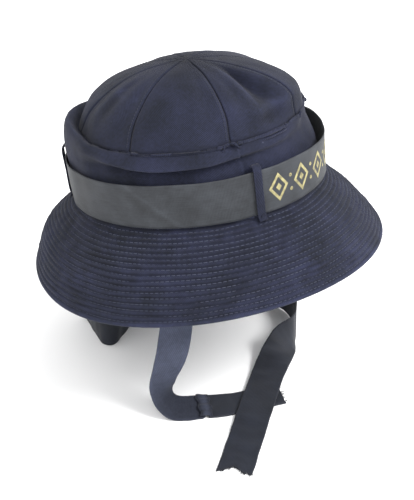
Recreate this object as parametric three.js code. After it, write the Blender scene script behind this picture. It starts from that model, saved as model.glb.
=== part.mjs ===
// A sailor hat of navy cotton: eight crown gores, a slouched side band, a stitched brim, a ribbon held by
// three loops, and two chin ties whose ends lie on the surface below. Millimetres, +Z up, -Y the front,
// -X the wearer's right. The origin is the middle of the head opening, where the hat sits on the head.
import * as THREE from "three";

// Driving sizes.
const tiltBackDegrees = 7; // the hat sits with its front raised
const headHalfLong = 98; // head opening, outside the side band, front to back
const headHalfWide = 81;
const brimReachLong = 43.4; // how far the brim stands out, seen from above
const brimReachWide = 46.9;
const brimDrop = 54;
const brimSwell = 2.2; // how far the brim bows out between its two edges
const clothThickness = 1.6;
const brimThickness = 2.6;
const ribbonThickness = 1;
const capRibbonWidth = 35;
const capRibbonLift = 1.2; // lower edge above the brim seam
const loopWidth = 6.5;
const tapeWidth = 25;
const tieRibbonWidth = 27;
const pieceGap = 0.35;
const brimTuck = 0.8; // how far the brim's seam edge lies under the side band's foot
const capRibbonStandOff = 1.8;
const capRibbonFlare = 0.6;
const loopThickness = 1.2;
const goreSeams = [22, 67, 118, 163, 207, 252, 297, 342]; // angles of the seams between the gores
const topSlip = [-5, -3]; // how far the gores' meeting point has slipped to the right and the front

// The crown from the brim seam to its top: how far it reaches to the front, back and sides at each height.
const crownSections = [
  // name, height, front, back, side
  ["brim seam", 0, 98, 98, 81],
  ["under the ribbon", 17, 96.5, 98.5, 80.8],
  ["ribbon's top", 34, 92.5, 99, 79.6],
  ["crease", 45, 88.5, 100, 77.6],
  ["belly", 51, 88, 98.5, 80.5],
  ["welt", 58, 87.5, 89.5, 78.5],
  ["gore foot", 60, 86.5, 86, 77],
  ["gore shoulder", 76, 80.5, 76, 64],
  ["gore rise", 90.5, 59, 56, 44],
  ["gore top", 99.5, 32, 32, 23],
  ["crown top", 103.5, 0, 0, 0],
];
const goreFootRow = 6;
const bandTopPlace = 5.75;
const goreTopPlace = 9.97;
const lastRow = crownSections.length - 1;

// How finely each wall is faceted.
const turnSteps = 60;
const bandRowSteps = 13;
const brimRowSteps = 5;
const goreTurnSteps = 6;
const goreRowSteps = 10;
const strapStepsPerRow = 2;
const strapPlaceStep = 0.02;

// Soft folds of the crown: each pushes the cloth out and up around one place.
const crownFolds = [
  // name, angle, row, spread in degrees, reach in rows, push, lift
  ["roll at the back", 176, 4.15, 42, 0.75, -3, 15],
  ["back roll's hollow", 168, 5.2, 36, 0.5, -0.8, -2],
  ["crease on the right", 92, 3.0, 40, 0.55, -3, 1],
  ["lip on the right", 100, 4.0, 44, 0.6, 1.5, -2],
  ["dent by the right front seam", 40, 7.6, 13, 1.1, -5, -1],
  ["puff at the front", 12, 7.2, 18, 1.3, 3, 0],
  ["dent at the front left", -32, 7.8, 14, 1.2, -4, -1],
  ["dent at the back left", 222, 7.7, 15, 1.2, -4, -1],
  ["lip on the left", 280, 4.0, 44, 0.6, 1.5, -1],
];

// Waves of the brim's outer edge.
const brimWaves = [
  // name, angle, spread in degrees, extra drop, extra reach, extra swell
  ["sag at the right back", 128, 26, 2.5, 1, 0],
  ["rise at the right front", 52, 34, -3.5, 0, 0],
  ["rise at the back", 178, 24, -4, -1, 4],
  ["sag at the left back", 228, 30, 2.5, 1, 0],
];

const loops = [
  // name, angle, further out over the side band's roll
  ["ribbon_loop_right", 60, 0],
  ["ribbon_loop_back", 181, 3.4],
  ["ribbon_loop_left", 300, 0],
];

// The run of a loop over the cap ribbon, from its top end to its foot on the brim.
const loopRoute = [
  // outward from the ribbon's face, height
  [-3, 40.6],
  [-0.2, 40.2],
  [1.6, 36],
  [1.3, 20],
  [1.2, 3],
  [1.8, 0],
  [3.6, -2.4],
];

// Routes of the ties. Each row is a point on the middle of the strap and the direction across it.
const rightTapeRoute = [
  // x, y, z, across x, across y, across z
  [-75, 13, 8, 0.07, 1, 0],
  [-75.4, 13, -10, 0.07, 1, 0],
  [-81, 13.5, -45, 0, 1, 0],
  [-84, 13.5, -82, -0.08, 1, 0],
  [-85, 18, -112, -0.3, 0.95, 0],
  [-86, 24.5, -134, -0.62, 0.78, -0.05],
  [-87.5, 24, -147, -0.88, 0.45, -0.12],
  [-89, 17.5, -154.8, -0.96, 0.12, -0.26],
  [-88.5, 7, -156.6, -0.97, -0.05, -0.22],
  [-86, -2, -157, -0.97, -0.1, -0.18],
  [-84.8, -7, -157.4, -0.97, -0.2, -0.16],
];
const rightRibbonRoute = [
  [-84.4, -8.5, -157.7, -0.96, -0.22, -0.12],
  [-80.5, -21, -158.5, -0.94, -0.34, -0.06],
  [-76, -33, -159.2, -0.93, -0.37, -0.02],
  [-71, -45, -159.4, -0.93, -0.37, 0],
  [-65.5, -58, -159.4, -0.93, -0.37, 0],
  [-60, -71, -159.4, -0.93, -0.37, 0],
];
const leftTapeRoute = [
  [75, 13, 8, -0.07, 1, 0],
  [75.4, 13.5, -10, -0.07, 1, 0],
  [82, 20, -42, -0.05, 0.96, 0.2],
  [86, 38, -80, -0.1, 0.9, 0.4],
  [85, 61, -113, -0.2, 0.7, 0.68],
  [78, 84, -135, -0.22, 0.4, 0.88],
  [67, 98, -145.5, -0.1, 0.1, 0.98],
  [57, 104.5, -147.2, 0, 0, 1],
];
const leftRibbonRoute = [
  [54, 105.8, -146.3, 0, 0, 1],
  [31, 97, -146.2, 0.12, 0.16, 0.98],
  [14, 88, -146.2, 0.2, 0.2, 0.96],
  [7, 78, -146.3, 0.25, 0, 0.97],
  [13, 69.5, -146.3, 0.1, -0.15, 0.98],
  [30, 65, -146.3, 0, 0, 1],
  [53, 60, -146.3, 0, 0, 1],
  [76, 44, -146.3, 0, 0, 1],
  [90, 18, -146.3, 0, 0, 1],
  [94, -12, -146.3, 0, 0, 1],
  [88, -44, -146.3, 0, 0, 1],
  [71, -70, -146.3, 0, 0, 1],
  [50, -79.5, -146.3, 0, 0, 1],
  [30, -81.5, -146.3, 0, 0, 1],
  [14, -79, -146.2, 0, 0.12, 0.98],
  [3, -72, -149, 0, 0.72, 0.66],
  [-8, -66, -154.9, -0.1, 0.95, 0.25],
  [-30, -59.5, -157.4, -0.15, 0.98, 0.03],
  [-56, -54, -157.7, -0.17, 0.98, 0],
  [-92, -47, -157.9, -0.18, 0.98, 0],
  [-116, -42.5, -159.2, -0.18, 0.98, 0],
  [-140, -38, -159.4, -0.18, 0.98, 0],
  [-165, -33.5, -159.4, -0.18, 0.98, 0],
];

const radians = THREE.MathUtils.degToRad;

// The shortest way round from one angle to another, from -180 to 180 degrees.
function angleBetween(from, to) {
  return THREE.MathUtils.euclideanModulo(to - from + 180, 360) - 180;
}

function bell(distance, spread) {
  return Math.exp(-((distance / spread) ** 2));
}

// A smooth value between the rows of one column of a table.
function betweenRows(rows, column, place) {
  const last = rows.length - 1;
  const start = THREE.MathUtils.clamp(Math.floor(place), 0, last - 1);
  const at = (i) => rows[THREE.MathUtils.clamp(i, 0, last)][column];
  const [before, here, next, after] = [-1, 0, 1, 2].map((step) => at(start + step));
  const t = place - start;
  const curve = new THREE.Vector4(
    here,
    (next - before) / 2,
    before - 2.5 * here + 2 * next - after / 2,
    (after - before) / 2 + 1.5 * (here - next),
  );
  return curve.dot(new THREE.Vector4(1, t, t * t, t * t * t));
}

// A point on an oval that may reach further to the front than to the back. Angle 0 is the front, and 90
// the wearer's right.
function ovalPoint(angle, front, back, side, height) {
  const turn = radians(angle);
  const long = Math.cos(turn) > 0 ? front : back;
  return new THREE.Vector3(-side * Math.sin(turn), -long * Math.cos(turn), height);
}

// A point on the outside of the crown, where row counts up the table of sections.
function crownPoint(angle, row) {
  let push = 0;
  let lift = 0;
  for (const [, foldAngle, foldRow, spread, reach, foldPush, foldLift] of crownFolds) {
    const share = bell(angleBetween(foldAngle, angle), spread) * bell(row - foldRow, reach);
    push += share * foldPush;
    lift += share * foldLift;
  }
  const [height, front, back, side] = [1, 2, 3, 4].map((column) =>
    betweenRows(crownSections, column, row),
  );
  const closing = Math.min(1, lastRow - row);
  push *= closing;
  const point = ovalPoint(angle, front + push, back + push, side + push, height + lift * closing);
  const slip = THREE.MathUtils.smoothstep(row, goreFootRow, lastRow);
  return point.add(new THREE.Vector3(topSlip[0] * slip, topSlip[1] * slip, 0));
}

// A point on the top of the brim, where rise runs from 0 at its outer edge to 1 at the seam.
function brimPoint(angle, rise) {
  const out = 1 - rise;
  let drop = brimDrop;
  let extra = 0;
  let bow = brimSwell;
  for (const [, waveAngle, spread, waveDrop, waveReach, waveSwell] of brimWaves) {
    const share = bell(angleBetween(waveAngle, angle), spread);
    drop += share * waveDrop;
    extra += share * waveReach;
    bow += share * waveSwell;
  }
  const swell = bow * Math.sin(Math.PI * out);
  const long = headHalfLong - brimTuck + (brimReachLong + extra) * out + swell;
  const side = headHalfWide - brimTuck + (brimReachWide + extra) * out + swell;
  return ovalPoint(angle, long, long, side, -pieceGap - drop * out + swell);
}

// A point on the outer face of the cap ribbon, where rise runs from 0 at its lower edge to 1 at its top.
function ribbonPoint(angle, rise) {
  const flare = capRibbonFlare * rise;
  const long = headHalfLong + capRibbonStandOff + flare;
  const side = headHalfWide + capRibbonStandOff + flare;
  return ovalPoint(angle, long, long, side, capRibbonLift + capRibbonWidth * rise);
}

// A solid between two skins of points, each a list of rows. Closed rows run right round the hat, and seen
// from outside each row goes to the right and the rows go up.
function wallGeometry(outer, inner, closed) {
  const rows = outer.length;
  const columns = outer[0].length;
  const positions = [...outer, ...inner].flat().flatMap((point) => point.toArray());
  const triangles = [];
  const out = (row, column) => row * columns + (column % columns);
  const into = (row, column) => rows * columns + out(row, column);
  const quad = (a, b, c, d) => triangles.push(a, b, c, a, c, d);
  const top = rows - 1;
  for (let c = 0; c < (closed ? columns : columns - 1); c++) {
    for (let r = 0; r < top; r++) {
      quad(out(r, c), out(r, c + 1), out(r + 1, c + 1), out(r + 1, c));
      quad(into(r, c), into(r + 1, c), into(r + 1, c + 1), into(r, c + 1));
    }
    quad(out(0, c), into(0, c), into(0, c + 1), out(0, c + 1));
    quad(out(top, c), out(top, c + 1), into(top, c + 1), into(top, c));
  }
  const side = columns - 1;
  for (let r = 0; r < top && !closed; r++) {
    quad(out(r, 0), out(r + 1, 0), into(r + 1, 0), into(r, 0));
    quad(out(r, side), into(r, side), into(r + 1, side), out(r + 1, side));
  }
  const geometry = new THREE.BufferGeometry();
  geometry.setAttribute("position", new THREE.Float32BufferAttribute(positions, 3));
  geometry.setIndex(triangles);
  geometry.computeVertexNormals();
  return geometry;
}

// The point one thickness inside the skin that pointAt(angle, place) gives.
function insideOf(pointAt, angle, place, thickness) {
  const turnStep = 0.5;
  const placeStep = 0.02;
  const along = pointAt(angle + turnStep, place).sub(pointAt(angle - turnStep, place));
  const up = pointAt(angle, place + placeStep).sub(pointAt(angle, place - placeStep));
  return pointAt(angle, place).addScaledVector(along.cross(up).normalize(), thickness);
}

// A piece of wall whose rows run from one place to another in its skin's table. anglesAt(place) lists the
// angles along a row, from the left to the right of someone looking at its outside.
function wallPiece(pointAt, from, to, rowSteps, anglesAt, thickness, closed) {
  const outer = [];
  const inner = [];
  for (let step = 0; step <= rowSteps; step++) {
    const place = THREE.MathUtils.lerp(from, to, step / rowSteps);
    const angles = anglesAt(place);
    outer.push(angles.map((angle) => pointAt(angle, place)));
    inner.push(angles.map((angle) => insideOf(pointAt, angle, place, thickness)));
  }
  return wallGeometry(outer, inner, closed);
}

function roundAngles(steps) {
  return () => Array.from({ length: steps }, (_, i) => (-360 * i) / steps);
}

// The angles across one gore, clear of the seams on both sides.
function goreAngles(gore, steps) {
  const seam = goreSeams[gore];
  const nextSeam = gore + 1 < goreSeams.length ? goreSeams[gore + 1] : goreSeams[0] + 360;
  return (row) => {
    const degree = crownPoint(seam + 0.5, row).distanceTo(crownPoint(seam - 0.5, row));
    const clear = pieceGap / 2 / degree;
    return Array.from({ length: steps + 1 }, (_, i) =>
      THREE.MathUtils.lerp(nextSeam - clear, seam + clear, i / steps),
    );
  };
}

// A flat strap along a route of rows, each a point on its middle and the direction across it.
function strapGeometry(route, width, thickness) {
  const outer = [];
  const inner = [];
  const at = (place, first) =>
    new THREE.Vector3(...[0, 1, 2].map((axis) => betweenRows(route, first + axis, place)));
  const steps = (route.length - 1) * strapStepsPerRow;
  for (let step = 0; step <= steps; step++) {
    const place = step / strapStepsPerRow;
    const middle = at(place, 0);
    const heading = at(place + strapPlaceStep, 0).sub(at(place - strapPlaceStep, 0));
    const across = at(place, 3);
    const face = across.clone().cross(heading).normalize();
    across.copy(heading).cross(face).normalize();
    const edge = (side, depth) =>
      middle
        .clone()
        .addScaledVector(across, (side * width) / 2)
        .addScaledVector(face, (depth * thickness) / 2);
    outer.push([-1, 0, 1].map((side) => edge(side, 1)));
    inner.push([-1, 0, 1].map((side) => edge(side, -1)));
  }
  return wallGeometry(outer, inner, false);
}

const navyCotton = { color: 0x22253a, roughness: 0.9, metalness: 0 };
const capSilk = { color: 0x3e4147, roughness: 0.6, metalness: 0 };
const blackSilk = { color: 0x24272c, roughness: 0.6, metalness: 0 };
const navyTape = { color: 0x2b3044, roughness: 0.9, metalness: 0 };

function addPiece(group, name, geometry, finish) {
  const mesh = new THREE.Mesh(geometry, new THREE.MeshStandardMaterial(finish));
  mesh.name = name;
  group.add(mesh);
}

function addCrown(hat) {
  for (let gore = 0; gore < goreSeams.length; gore++) {
    const angles = goreAngles(gore, goreTurnSteps);
    const geometry = wallPiece(
      crownPoint, goreFootRow, goreTopPlace, goreRowSteps, angles, clothThickness, false,
    );
    addPiece(hat, `crown_gore_${gore + 1}`, geometry, navyCotton);
  }
  const band = wallPiece(
    crownPoint, 0, bandTopPlace, bandRowSteps, roundAngles(turnSteps), clothThickness, true,
  );
  addPiece(hat, "side_band", band, navyCotton);
}

function addBrim(hat) {
  const brim = wallPiece(brimPoint, 0, 1, brimRowSteps, roundAngles(turnSteps), brimThickness, true);
  addPiece(hat, "brim", brim, navyCotton);
}

function addCapRibbon(hat) {
  const ribbon = wallPiece(ribbonPoint, 0, 1, 2, roundAngles(turnSteps), ribbonThickness, true);
  addPiece(hat, "cap_ribbon", ribbon, capSilk);
  for (const [name, angle, overRoll] of loops) {
    const route = loopRoute.map(([outward, height]) => {
      const reach = capRibbonStandOff + outward + (height > 0 ? overRoll : 0);
      const pointAt = (turn) =>
        ovalPoint(turn, headHalfLong + reach, headHalfLong + reach, headHalfWide + reach, height);
      const across = pointAt(angle + 1).sub(pointAt(angle - 1)).normalize();
      return [...pointAt(angle).toArray(), ...across.toArray()];
    });
    addPiece(hat, name, strapGeometry(route, loopWidth, loopThickness), navyCotton);
  }
}

function addTies(root) {
  const ties = [
    ["right_tie_tape", rightTapeRoute, tapeWidth, navyTape],
    ["right_tie_ribbon", rightRibbonRoute, tieRibbonWidth, blackSilk],
    ["left_tie_tape", leftTapeRoute, tapeWidth, navyTape],
    ["left_tie_ribbon", leftRibbonRoute, tieRibbonWidth, blackSilk],
  ];
  for (const [name, route, width, finish] of ties) {
    addPiece(root, name, strapGeometry(route, width, ribbonThickness), finish);
  }
}

const sailorHat = new THREE.Group();
const hat = new THREE.Group();
hat.rotation.x = -radians(tiltBackDegrees);
sailorHat.add(hat);
addCrown(hat);
addBrim(hat);
addCapRibbon(hat);
addTies(sailorHat);

export default sailorHat;
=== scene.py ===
import math
import random

import bpy
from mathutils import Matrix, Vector, noise


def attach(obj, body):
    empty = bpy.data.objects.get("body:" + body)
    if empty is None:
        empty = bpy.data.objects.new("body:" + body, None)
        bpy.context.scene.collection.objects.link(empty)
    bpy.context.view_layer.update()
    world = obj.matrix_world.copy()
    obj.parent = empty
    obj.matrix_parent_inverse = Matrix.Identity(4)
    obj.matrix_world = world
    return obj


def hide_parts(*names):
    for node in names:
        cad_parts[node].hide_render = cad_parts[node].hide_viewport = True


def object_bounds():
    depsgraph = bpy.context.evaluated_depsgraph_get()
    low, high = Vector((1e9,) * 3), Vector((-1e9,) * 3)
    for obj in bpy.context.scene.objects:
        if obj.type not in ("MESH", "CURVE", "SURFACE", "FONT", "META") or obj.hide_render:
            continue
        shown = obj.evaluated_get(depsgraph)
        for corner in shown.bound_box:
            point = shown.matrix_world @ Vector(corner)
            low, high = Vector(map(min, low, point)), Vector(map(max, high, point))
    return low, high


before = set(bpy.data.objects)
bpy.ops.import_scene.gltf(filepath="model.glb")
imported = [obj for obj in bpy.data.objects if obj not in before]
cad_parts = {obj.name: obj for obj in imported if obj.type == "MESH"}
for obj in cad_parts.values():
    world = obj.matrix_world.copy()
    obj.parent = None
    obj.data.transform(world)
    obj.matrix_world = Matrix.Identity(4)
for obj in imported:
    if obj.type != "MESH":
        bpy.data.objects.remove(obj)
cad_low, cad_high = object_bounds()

# ---- The view, the floor and the light ---------------------------------------------------------
# The hat is held in the air as a head holds it, on a plain white floor that its tie ends lie on.
# It is seen from its wearer's right and a little from above, in soft light that comes from its front.
MM = 0.001
VIEW_TURN = math.radians(273)
VIEW_RISE = math.radians(25.5)
VIEW_REACH = 1.0
LENS = 91.1
AIM_RIGHT = 6 * MM  # the middle of the view lies to the right of the head opening and below it
AIM_DOWN = 55.2 * MM
FLOOR_SPAN = 12.0
FLOOR_CLEARANCE = 0.3 * MM

view_back = Vector((
    math.sin(VIEW_TURN) * math.cos(VIEW_RISE),
    -math.cos(VIEW_TURN) * math.cos(VIEW_RISE),
    math.sin(VIEW_RISE),
))
view_right = Vector((math.cos(VIEW_TURN), math.sin(VIEW_TURN), 0))
view_up = view_back.cross(view_right)
camera_place = view_back * VIEW_REACH
aim = view_right * AIM_RIGHT - view_up * AIM_DOWN

bpy.ops.object.camera_add(location=camera_place)
camera = bpy.context.object
camera.rotation_euler = (aim - camera_place).to_track_quat("-Z", "Y").to_euler()
camera.data.lens = LENS
camera.data.clip_end = 100
bpy.context.scene.camera = camera
bpy.context.scene.view_settings.view_transform = "Standard"


def linear(hex_colour):
    """The linear colour of an sRGB hex value."""
    def channel(value):
        return value / 12.92 if value <= 0.04045 else ((value + 0.055) / 1.055) ** 2.4

    return [channel(int(hex_colour[i:i + 2], 16) / 255) for i in (1, 3, 5)] + [1]


def add_node(material, kind, inputs=None, **settings):
    """Add a node to a material, with its settings, and with its inputs set or linked."""
    node = material.node_tree.nodes.new(kind)
    for name, value in settings.items():
        setattr(node, name, value)
    for name, value in (inputs or {}).items():
        if isinstance(value, bpy.types.NodeSocket):
            material.node_tree.links.new(value, node.inputs[name])
        else:
            node.inputs[name].default_value = value
    return node


def new_material(name):
    """An empty material and its Principled shader."""
    material = bpy.data.materials.new(name)
    material.use_nodes = True
    return material, material.node_tree.nodes["Principled BSDF"]


bpy.ops.object.select_all(action="DESELECT")
bpy.ops.mesh.primitive_plane_add(size=FLOOR_SPAN, location=(0, 0, cad_low.z - FLOOR_CLEARANCE))
floor = bpy.context.object
floor.name = "floor"
floor_paint, floor_shader = new_material("matt_white_floor_paint")
floor_shader.inputs["Base Color"].default_value = linear("#FDFDFD")
floor_shader.inputs["Roughness"].default_value = 0.95
floor_shader.inputs["Specular IOR Level"].default_value = 0.1
floor.data.materials.append(floor_paint)

world = bpy.data.worlds.new("soft_white_room")
bpy.context.scene.world = world
world.use_nodes = True
world.node_tree.nodes["Background"].inputs["Color"].default_value = (1, 1, 1, 1)
world.node_tree.nodes["Background"].inputs["Strength"].default_value = 1.3

LAMPS = [
    # name, where it stands, size, watts
    ("large_lamp_at_the_front", (-0.7, -1.7, 1.9), 1.1, 92),
    ("fill_lamp_by_the_viewer", (-2.0, 0.5, 1.6), 1.8, 18),
]
for lamp_name, place, size, watts in LAMPS:
    bpy.ops.object.light_add(type="AREA", location=place)
    lamp = bpy.context.object
    lamp.name = lamp_name
    lamp.data.size = size
    lamp.data.energy = watts
    lamp.rotation_euler = (-Vector(place)).to_track_quat("-Z", "Y").to_euler()

# ---- Crown gores -------------------------------------------------------------------------------
# Eight wedges of navy cotton gabardine meet at the top of the crown. They are seamed together with
# their turnings inside, and a row of topstitching runs beside each seam.
TILT_BACK = math.radians(7)
CLOTH_THICKNESS = 1.3
GORE_SEAMS = [22, 67, 118, 163, 207, 252, 297, 342]
SEAM_DEPTHS = [0.45, 1, 1, 0.4, 0.8, 0.8, 0.8, 0.7]  # some seams are pulled in less than others
TOP_SLIP = (-5, -3)  # how far the top has slid over, in x and y
GORE_FOOT_ROW = 6
GORE_HEM_ROW = 5.55  # the gores' feet run on down inside the side band
LAST_ROW = 10

CROWN_SECTIONS = [
    # height, front, back, side; from the brim seam to the top
    (0, 98, 98, 81),
    (17, 96.5, 98.5, 80.8),
    (34, 92.5, 99, 79.6),
    (45, 88.5, 100, 77.6),
    (51, 88, 98.5, 80.5),
    (58, 87.5, 89.5, 78.5),
    (60, 86.5, 86, 77),
    (76, 80.5, 76, 64),
    (90.5, 59, 56, 44),
    (99.5, 32, 32, 23),
    (103.5, 0, 0, 0),
]

CROWN_FOLDS = [
    # name, angle, row, spread in degrees, reach in rows, push, lift
    ("roll at the back", 176, 4.15, 42, 0.75, -3, 15),
    ("back roll's hollow", 168, 5.2, 36, 0.5, -0.8, -2),
    ("crease on the right", 92, 3.0, 40, 0.55, -3, 1),
    ("lip on the right", 100, 4.0, 44, 0.6, 1.5, -2),
    ("dent by the right front seam", 40, 7.6, 13, 1.1, -5, -1),
    ("puff at the front", 12, 7.2, 18, 1.3, 3, 0),
    ("dent at the front left", -32, 7.8, 14, 1.2, -4, -1),
    ("dent at the back left", 222, 7.7, 15, 1.2, -4, -1),
    ("lip on the left", 280, 4.0, 44, 0.6, 1.5, -1),
]

FINE_FOLDS = [
    # name, angle, row, spread in degrees, reach in rows, push, lift
    ("ridge before the front dent", 49, 8.0, 5, 1.2, 4.2, 0),
    ("valley of the front dent", 37, 7.8, 5.5, 0.9, -8.0, -1.5),
    ("puff at the right front of the dome", 23, 7.6, 8, 0.8, 4.2, 1),
    ("ridge above the welt", 38, 6.9, 12, 0.22, 3.4, 0.5),
    ("hollow above the welt", 42, 6.45, 16, 0.25, -2.2, 0),
    ("hollow beside the right seam", 76, 7.5, 5, 1.1, -1.5, 0),
    ("ridge beside the right seam", 61, 7.4, 4, 1.0, 1.2, 0),
    ("hollow behind the right back seam", 125, 7.3, 5, 1.3, -1.9, 0),
    ("ridge before the right back seam", 110, 7.0, 5, 0.9, 1.1, 0),
    ("fold at the back right", 151, 8.0, 5, 0.8, 2.0, 0),
    ("hollow at the back right", 142, 7.7, 5, 0.9, -1.8, 0),
    ("second hollow at the back right", 159, 7.3, 6, 0.9, -1.8, 0),
    ("lip over the crease on the right", 104, 3.85, 27, 0.32, 2.6, -1.4),
    ("crease under the lip on the right", 102, 3.12, 29, 0.28, -2.8, 0),
    ("drape towards the loop", 78, 3.4, 8, 0.45, 1.4, 0),
    ("tuck at the right front of the side", 40, 4.6, 8, 0.45, -2.6, 0),
    ("swell at the front of the side", 25, 4.6, 8, 0.6, 2.2, 0),
    ("tuck at the front of the side", 10, 4.1, 7, 0.8, -2.4, 0),
    ("pucker by the side seam", 68, 4.9, 4, 0.4, -1.5, 0),
    ("tuck at the left front", -50, 4.2, 9, 0.8, -2.4, 0),
    ("tuck at the left", 262, 4.6, 9, 0.6, -2.2, 0),
    ("hollow at the left seam", 246, 7.4, 6, 1.2, -1.8, 0),
    ("fold at the left", 306, 7.6, 6, 1.1, 2.0, 0),
    ("hollow at the front left", -14, 7.7, 7, 1.0, -2.0, 0),
    ("fold at the back left", 196, 7.6, 6, 1.0, 1.8, 0),
]


def angle_between(start, end):
    """The shortest way round from one angle to another, from -180 to 180 degrees."""
    return (end - start + 180) % 360 - 180


def bell(distance, spread):
    """1 at no distance, and falling away to nothing over about twice the spread."""
    return math.exp(-((distance / spread) ** 2))


def smooth_step(value, low, high):
    """0 up to the low value and 1 from the high one, with a smooth run between them."""
    t = min(1, max(0, (value - low) / (high - low)))
    return t * t * (3 - 2 * t)


def between_rows(rows, column, place):
    """A smooth value between the rows of one column of a table."""
    last = len(rows) - 1
    start = min(max(math.floor(place), 0), last - 1)
    before, here, after, later = (
        rows[min(max(start + step, 0), last)][column] for step in (-1, 0, 1, 2)
    )
    t = place - start
    return here + t * (
        (after - before) / 2
        + t * ((before - 2.5 * here + 2 * after - later / 2)
               + t * ((later - before) / 2 + 1.5 * (here - after)))
    )


def oval_point(angle, front, back, side, height):
    """A point on an oval round the head. Angle 0 is the front, and 90 the wearer's right."""
    turn = math.radians(angle)
    long = front if math.cos(turn) > 0 else back
    return Vector((-side * math.sin(turn), -long * math.cos(turn), height))


def wrinkle(angle, height, size, seed):
    """Soft uneven cloth, from -1 to 1, at a place given by its angle and its height in mm."""
    turn = math.radians(angle)
    place = Vector((math.cos(turn) * 85 / size, math.sin(turn) * 85 / size, height / size + seed))
    return noise.noise(place)


def crown_point(angle, row):
    """A point on the outside of the crown, where row counts up the table of sections."""
    push = 0
    lift = 0
    for _, fold_angle, fold_row, spread, reach, fold_push, fold_lift in CROWN_FOLDS + FINE_FOLDS:
        share = bell(angle_between(fold_angle, angle), spread) * bell(row - fold_row, reach)
        push += share * fold_push
        lift += share * fold_lift
    height, front, back, side = (between_rows(CROWN_SECTIONS, i, row) for i in range(4))
    closing = min(1, LAST_ROW - row)
    push += 1.4 * wrinkle(angle, height, 26, 3) + 0.55 * wrinkle(angle, height, 9, 8)
    push *= closing
    point = oval_point(angle, front + push, back + push, side + push, height + lift * closing)
    slip = smooth_step(row, GORE_FOOT_ROW, LAST_ROW)
    return point + Vector((TOP_SLIP[0] * slip, TOP_SLIP[1] * slip, 0))


def degree_width(angle, row):
    """How many mm of the crown one degree takes up at a place."""
    return (crown_point(angle + 0.5, row) - crown_point(angle - 0.5, row)).length


def tilted(point):
    """A point of the level hat, in mm, where it lies on the hat as worn, in metres."""
    cos, sin = math.cos(TILT_BACK), math.sin(TILT_BACK)
    return Vector((point.x, point.y * cos + point.z * sin, point.z * cos - point.y * sin)) * MM


def outward(skin, angle, place, step=0.03):
    """The direction out of a skin that skin(angle, place) gives."""
    along = skin(angle - 0.6, place) - skin(angle + 0.6, place)
    up = skin(angle, place + step) - skin(angle, place - step)
    return along.cross(up).normalized()


def cloth_grid(name, columns, rows, place, size, closed=False, wear_and_painted_light=None):
    """A grid of cloth. place(s, t) gives a point in metres, where s and t run from 0 to 1.
    size is the cloth's width and length in mm, which its UV map is drawn to. wear_and_painted_light(s, t)
    runs from -1, where painted shade darkens a groove or hollow, to 1, where rubbing or a painted
    highlight pales a ridge."""
    bpy.ops.object.select_all(action="DESELECT")
    bpy.ops.mesh.primitive_grid_add(x_subdivisions=columns, y_subdivisions=rows, size=2)
    piece = bpy.context.object
    piece.name = name
    piece.data.name = name
    for loop in piece.data.uv_layers[0].data:
        loop.uv = (loop.uv.x * size[0], loop.uv.y * size[1])
    worn_and_lit = piece.data.attributes.new("wear_and_painted_light", "FLOAT", "POINT")
    for vertex in piece.data.vertices:
        s, t = (vertex.co.x + 1) / 2, (vertex.co.y + 1) / 2
        worn_and_lit.data[vertex.index].value = wear_and_painted_light(s, t) if wear_and_painted_light else 0
        vertex.co = place(s, t)
    if closed:
        bpy.ops.object.mode_set(mode="EDIT")
        bpy.ops.mesh.select_all(action="SELECT")
        bpy.ops.mesh.remove_doubles(threshold=0.02 * MM)
        bpy.ops.object.mode_set(mode="OBJECT")
    bpy.ops.object.shade_smooth()
    return piece


def thicken(piece, thickness):
    """Give a sheet its thickness, on its inner side."""
    bpy.context.view_layer.objects.active = piece
    wall = piece.modifiers.new("cloth", "SOLIDIFY")
    wall.thickness = thickness * MM
    wall.offset = -1
    bpy.ops.object.modifier_apply(modifier=wall.name)


def dress(piece, material, slot, *nodes):
    """Give a piece its material, and let it ride on the hat in place of its plain solids."""
    piece.data.materials.clear()
    piece.data.materials.append(material)
    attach(piece, "root")
    if nodes:
        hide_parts(*nodes)


def faded_dye(material, fade, fade_range, colours, lines, wear_and_light_range):
    """A cloth's dyed colour, faded where fade is high, and varied by its lines and by its wear and
    painted light and shade.
    """
    faded_share = add_node(material, "ShaderNodeMapRange",
                           {"Value": fade, "From Min": fade_range[0], "From Max": fade_range[1]})
    dyed = add_node(material, "ShaderNodeMix",
                    {"Factor": faded_share.outputs[0], "A": linear(colours[0]), "B": linear(colours[1])},
                    data_type="RGBA")
    # this attribute holds real wear together with painted shade in grooves and hollows and painted
    # highlights on ridges
    worn_and_lit = add_node(material, "ShaderNodeAttribute", attribute_name="wear_and_painted_light")
    wear_and_light_share = add_node(material, "ShaderNodeMapRange",
                         {"Value": worn_and_lit.outputs["Fac"], "From Min": -1,
                          "To Min": wear_and_light_range[0], "To Max": wear_and_light_range[1]})
    share = add_node(material, "ShaderNodeMath",
                     {0: lines, 1: wear_and_light_share.outputs[0]}, operation="MULTIPLY")
    shaded = add_node(material, "ShaderNodeVectorMath",
                      {0: dyed.outputs["Result"], "Scale": share.outputs[0]}, operation="SCALE")
    return shaded.outputs[0]


def finish_cloth(material, shader, colour, height, bump, depth, surface):
    """Link a cloth's colour and relief to its shader, and set how its surface takes the light."""
    relief = add_node(material, "ShaderNodeBump",
                      {"Height": height, "Strength": bump, "Distance": depth * MM})
    material.node_tree.links.new(colour, shader.inputs["Base Color"])
    material.node_tree.links.new(relief.outputs["Normal"], shader.inputs["Normal"])
    for setting, value in surface.items():
        shader.inputs[setting].default_value = value
    return material


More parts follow.
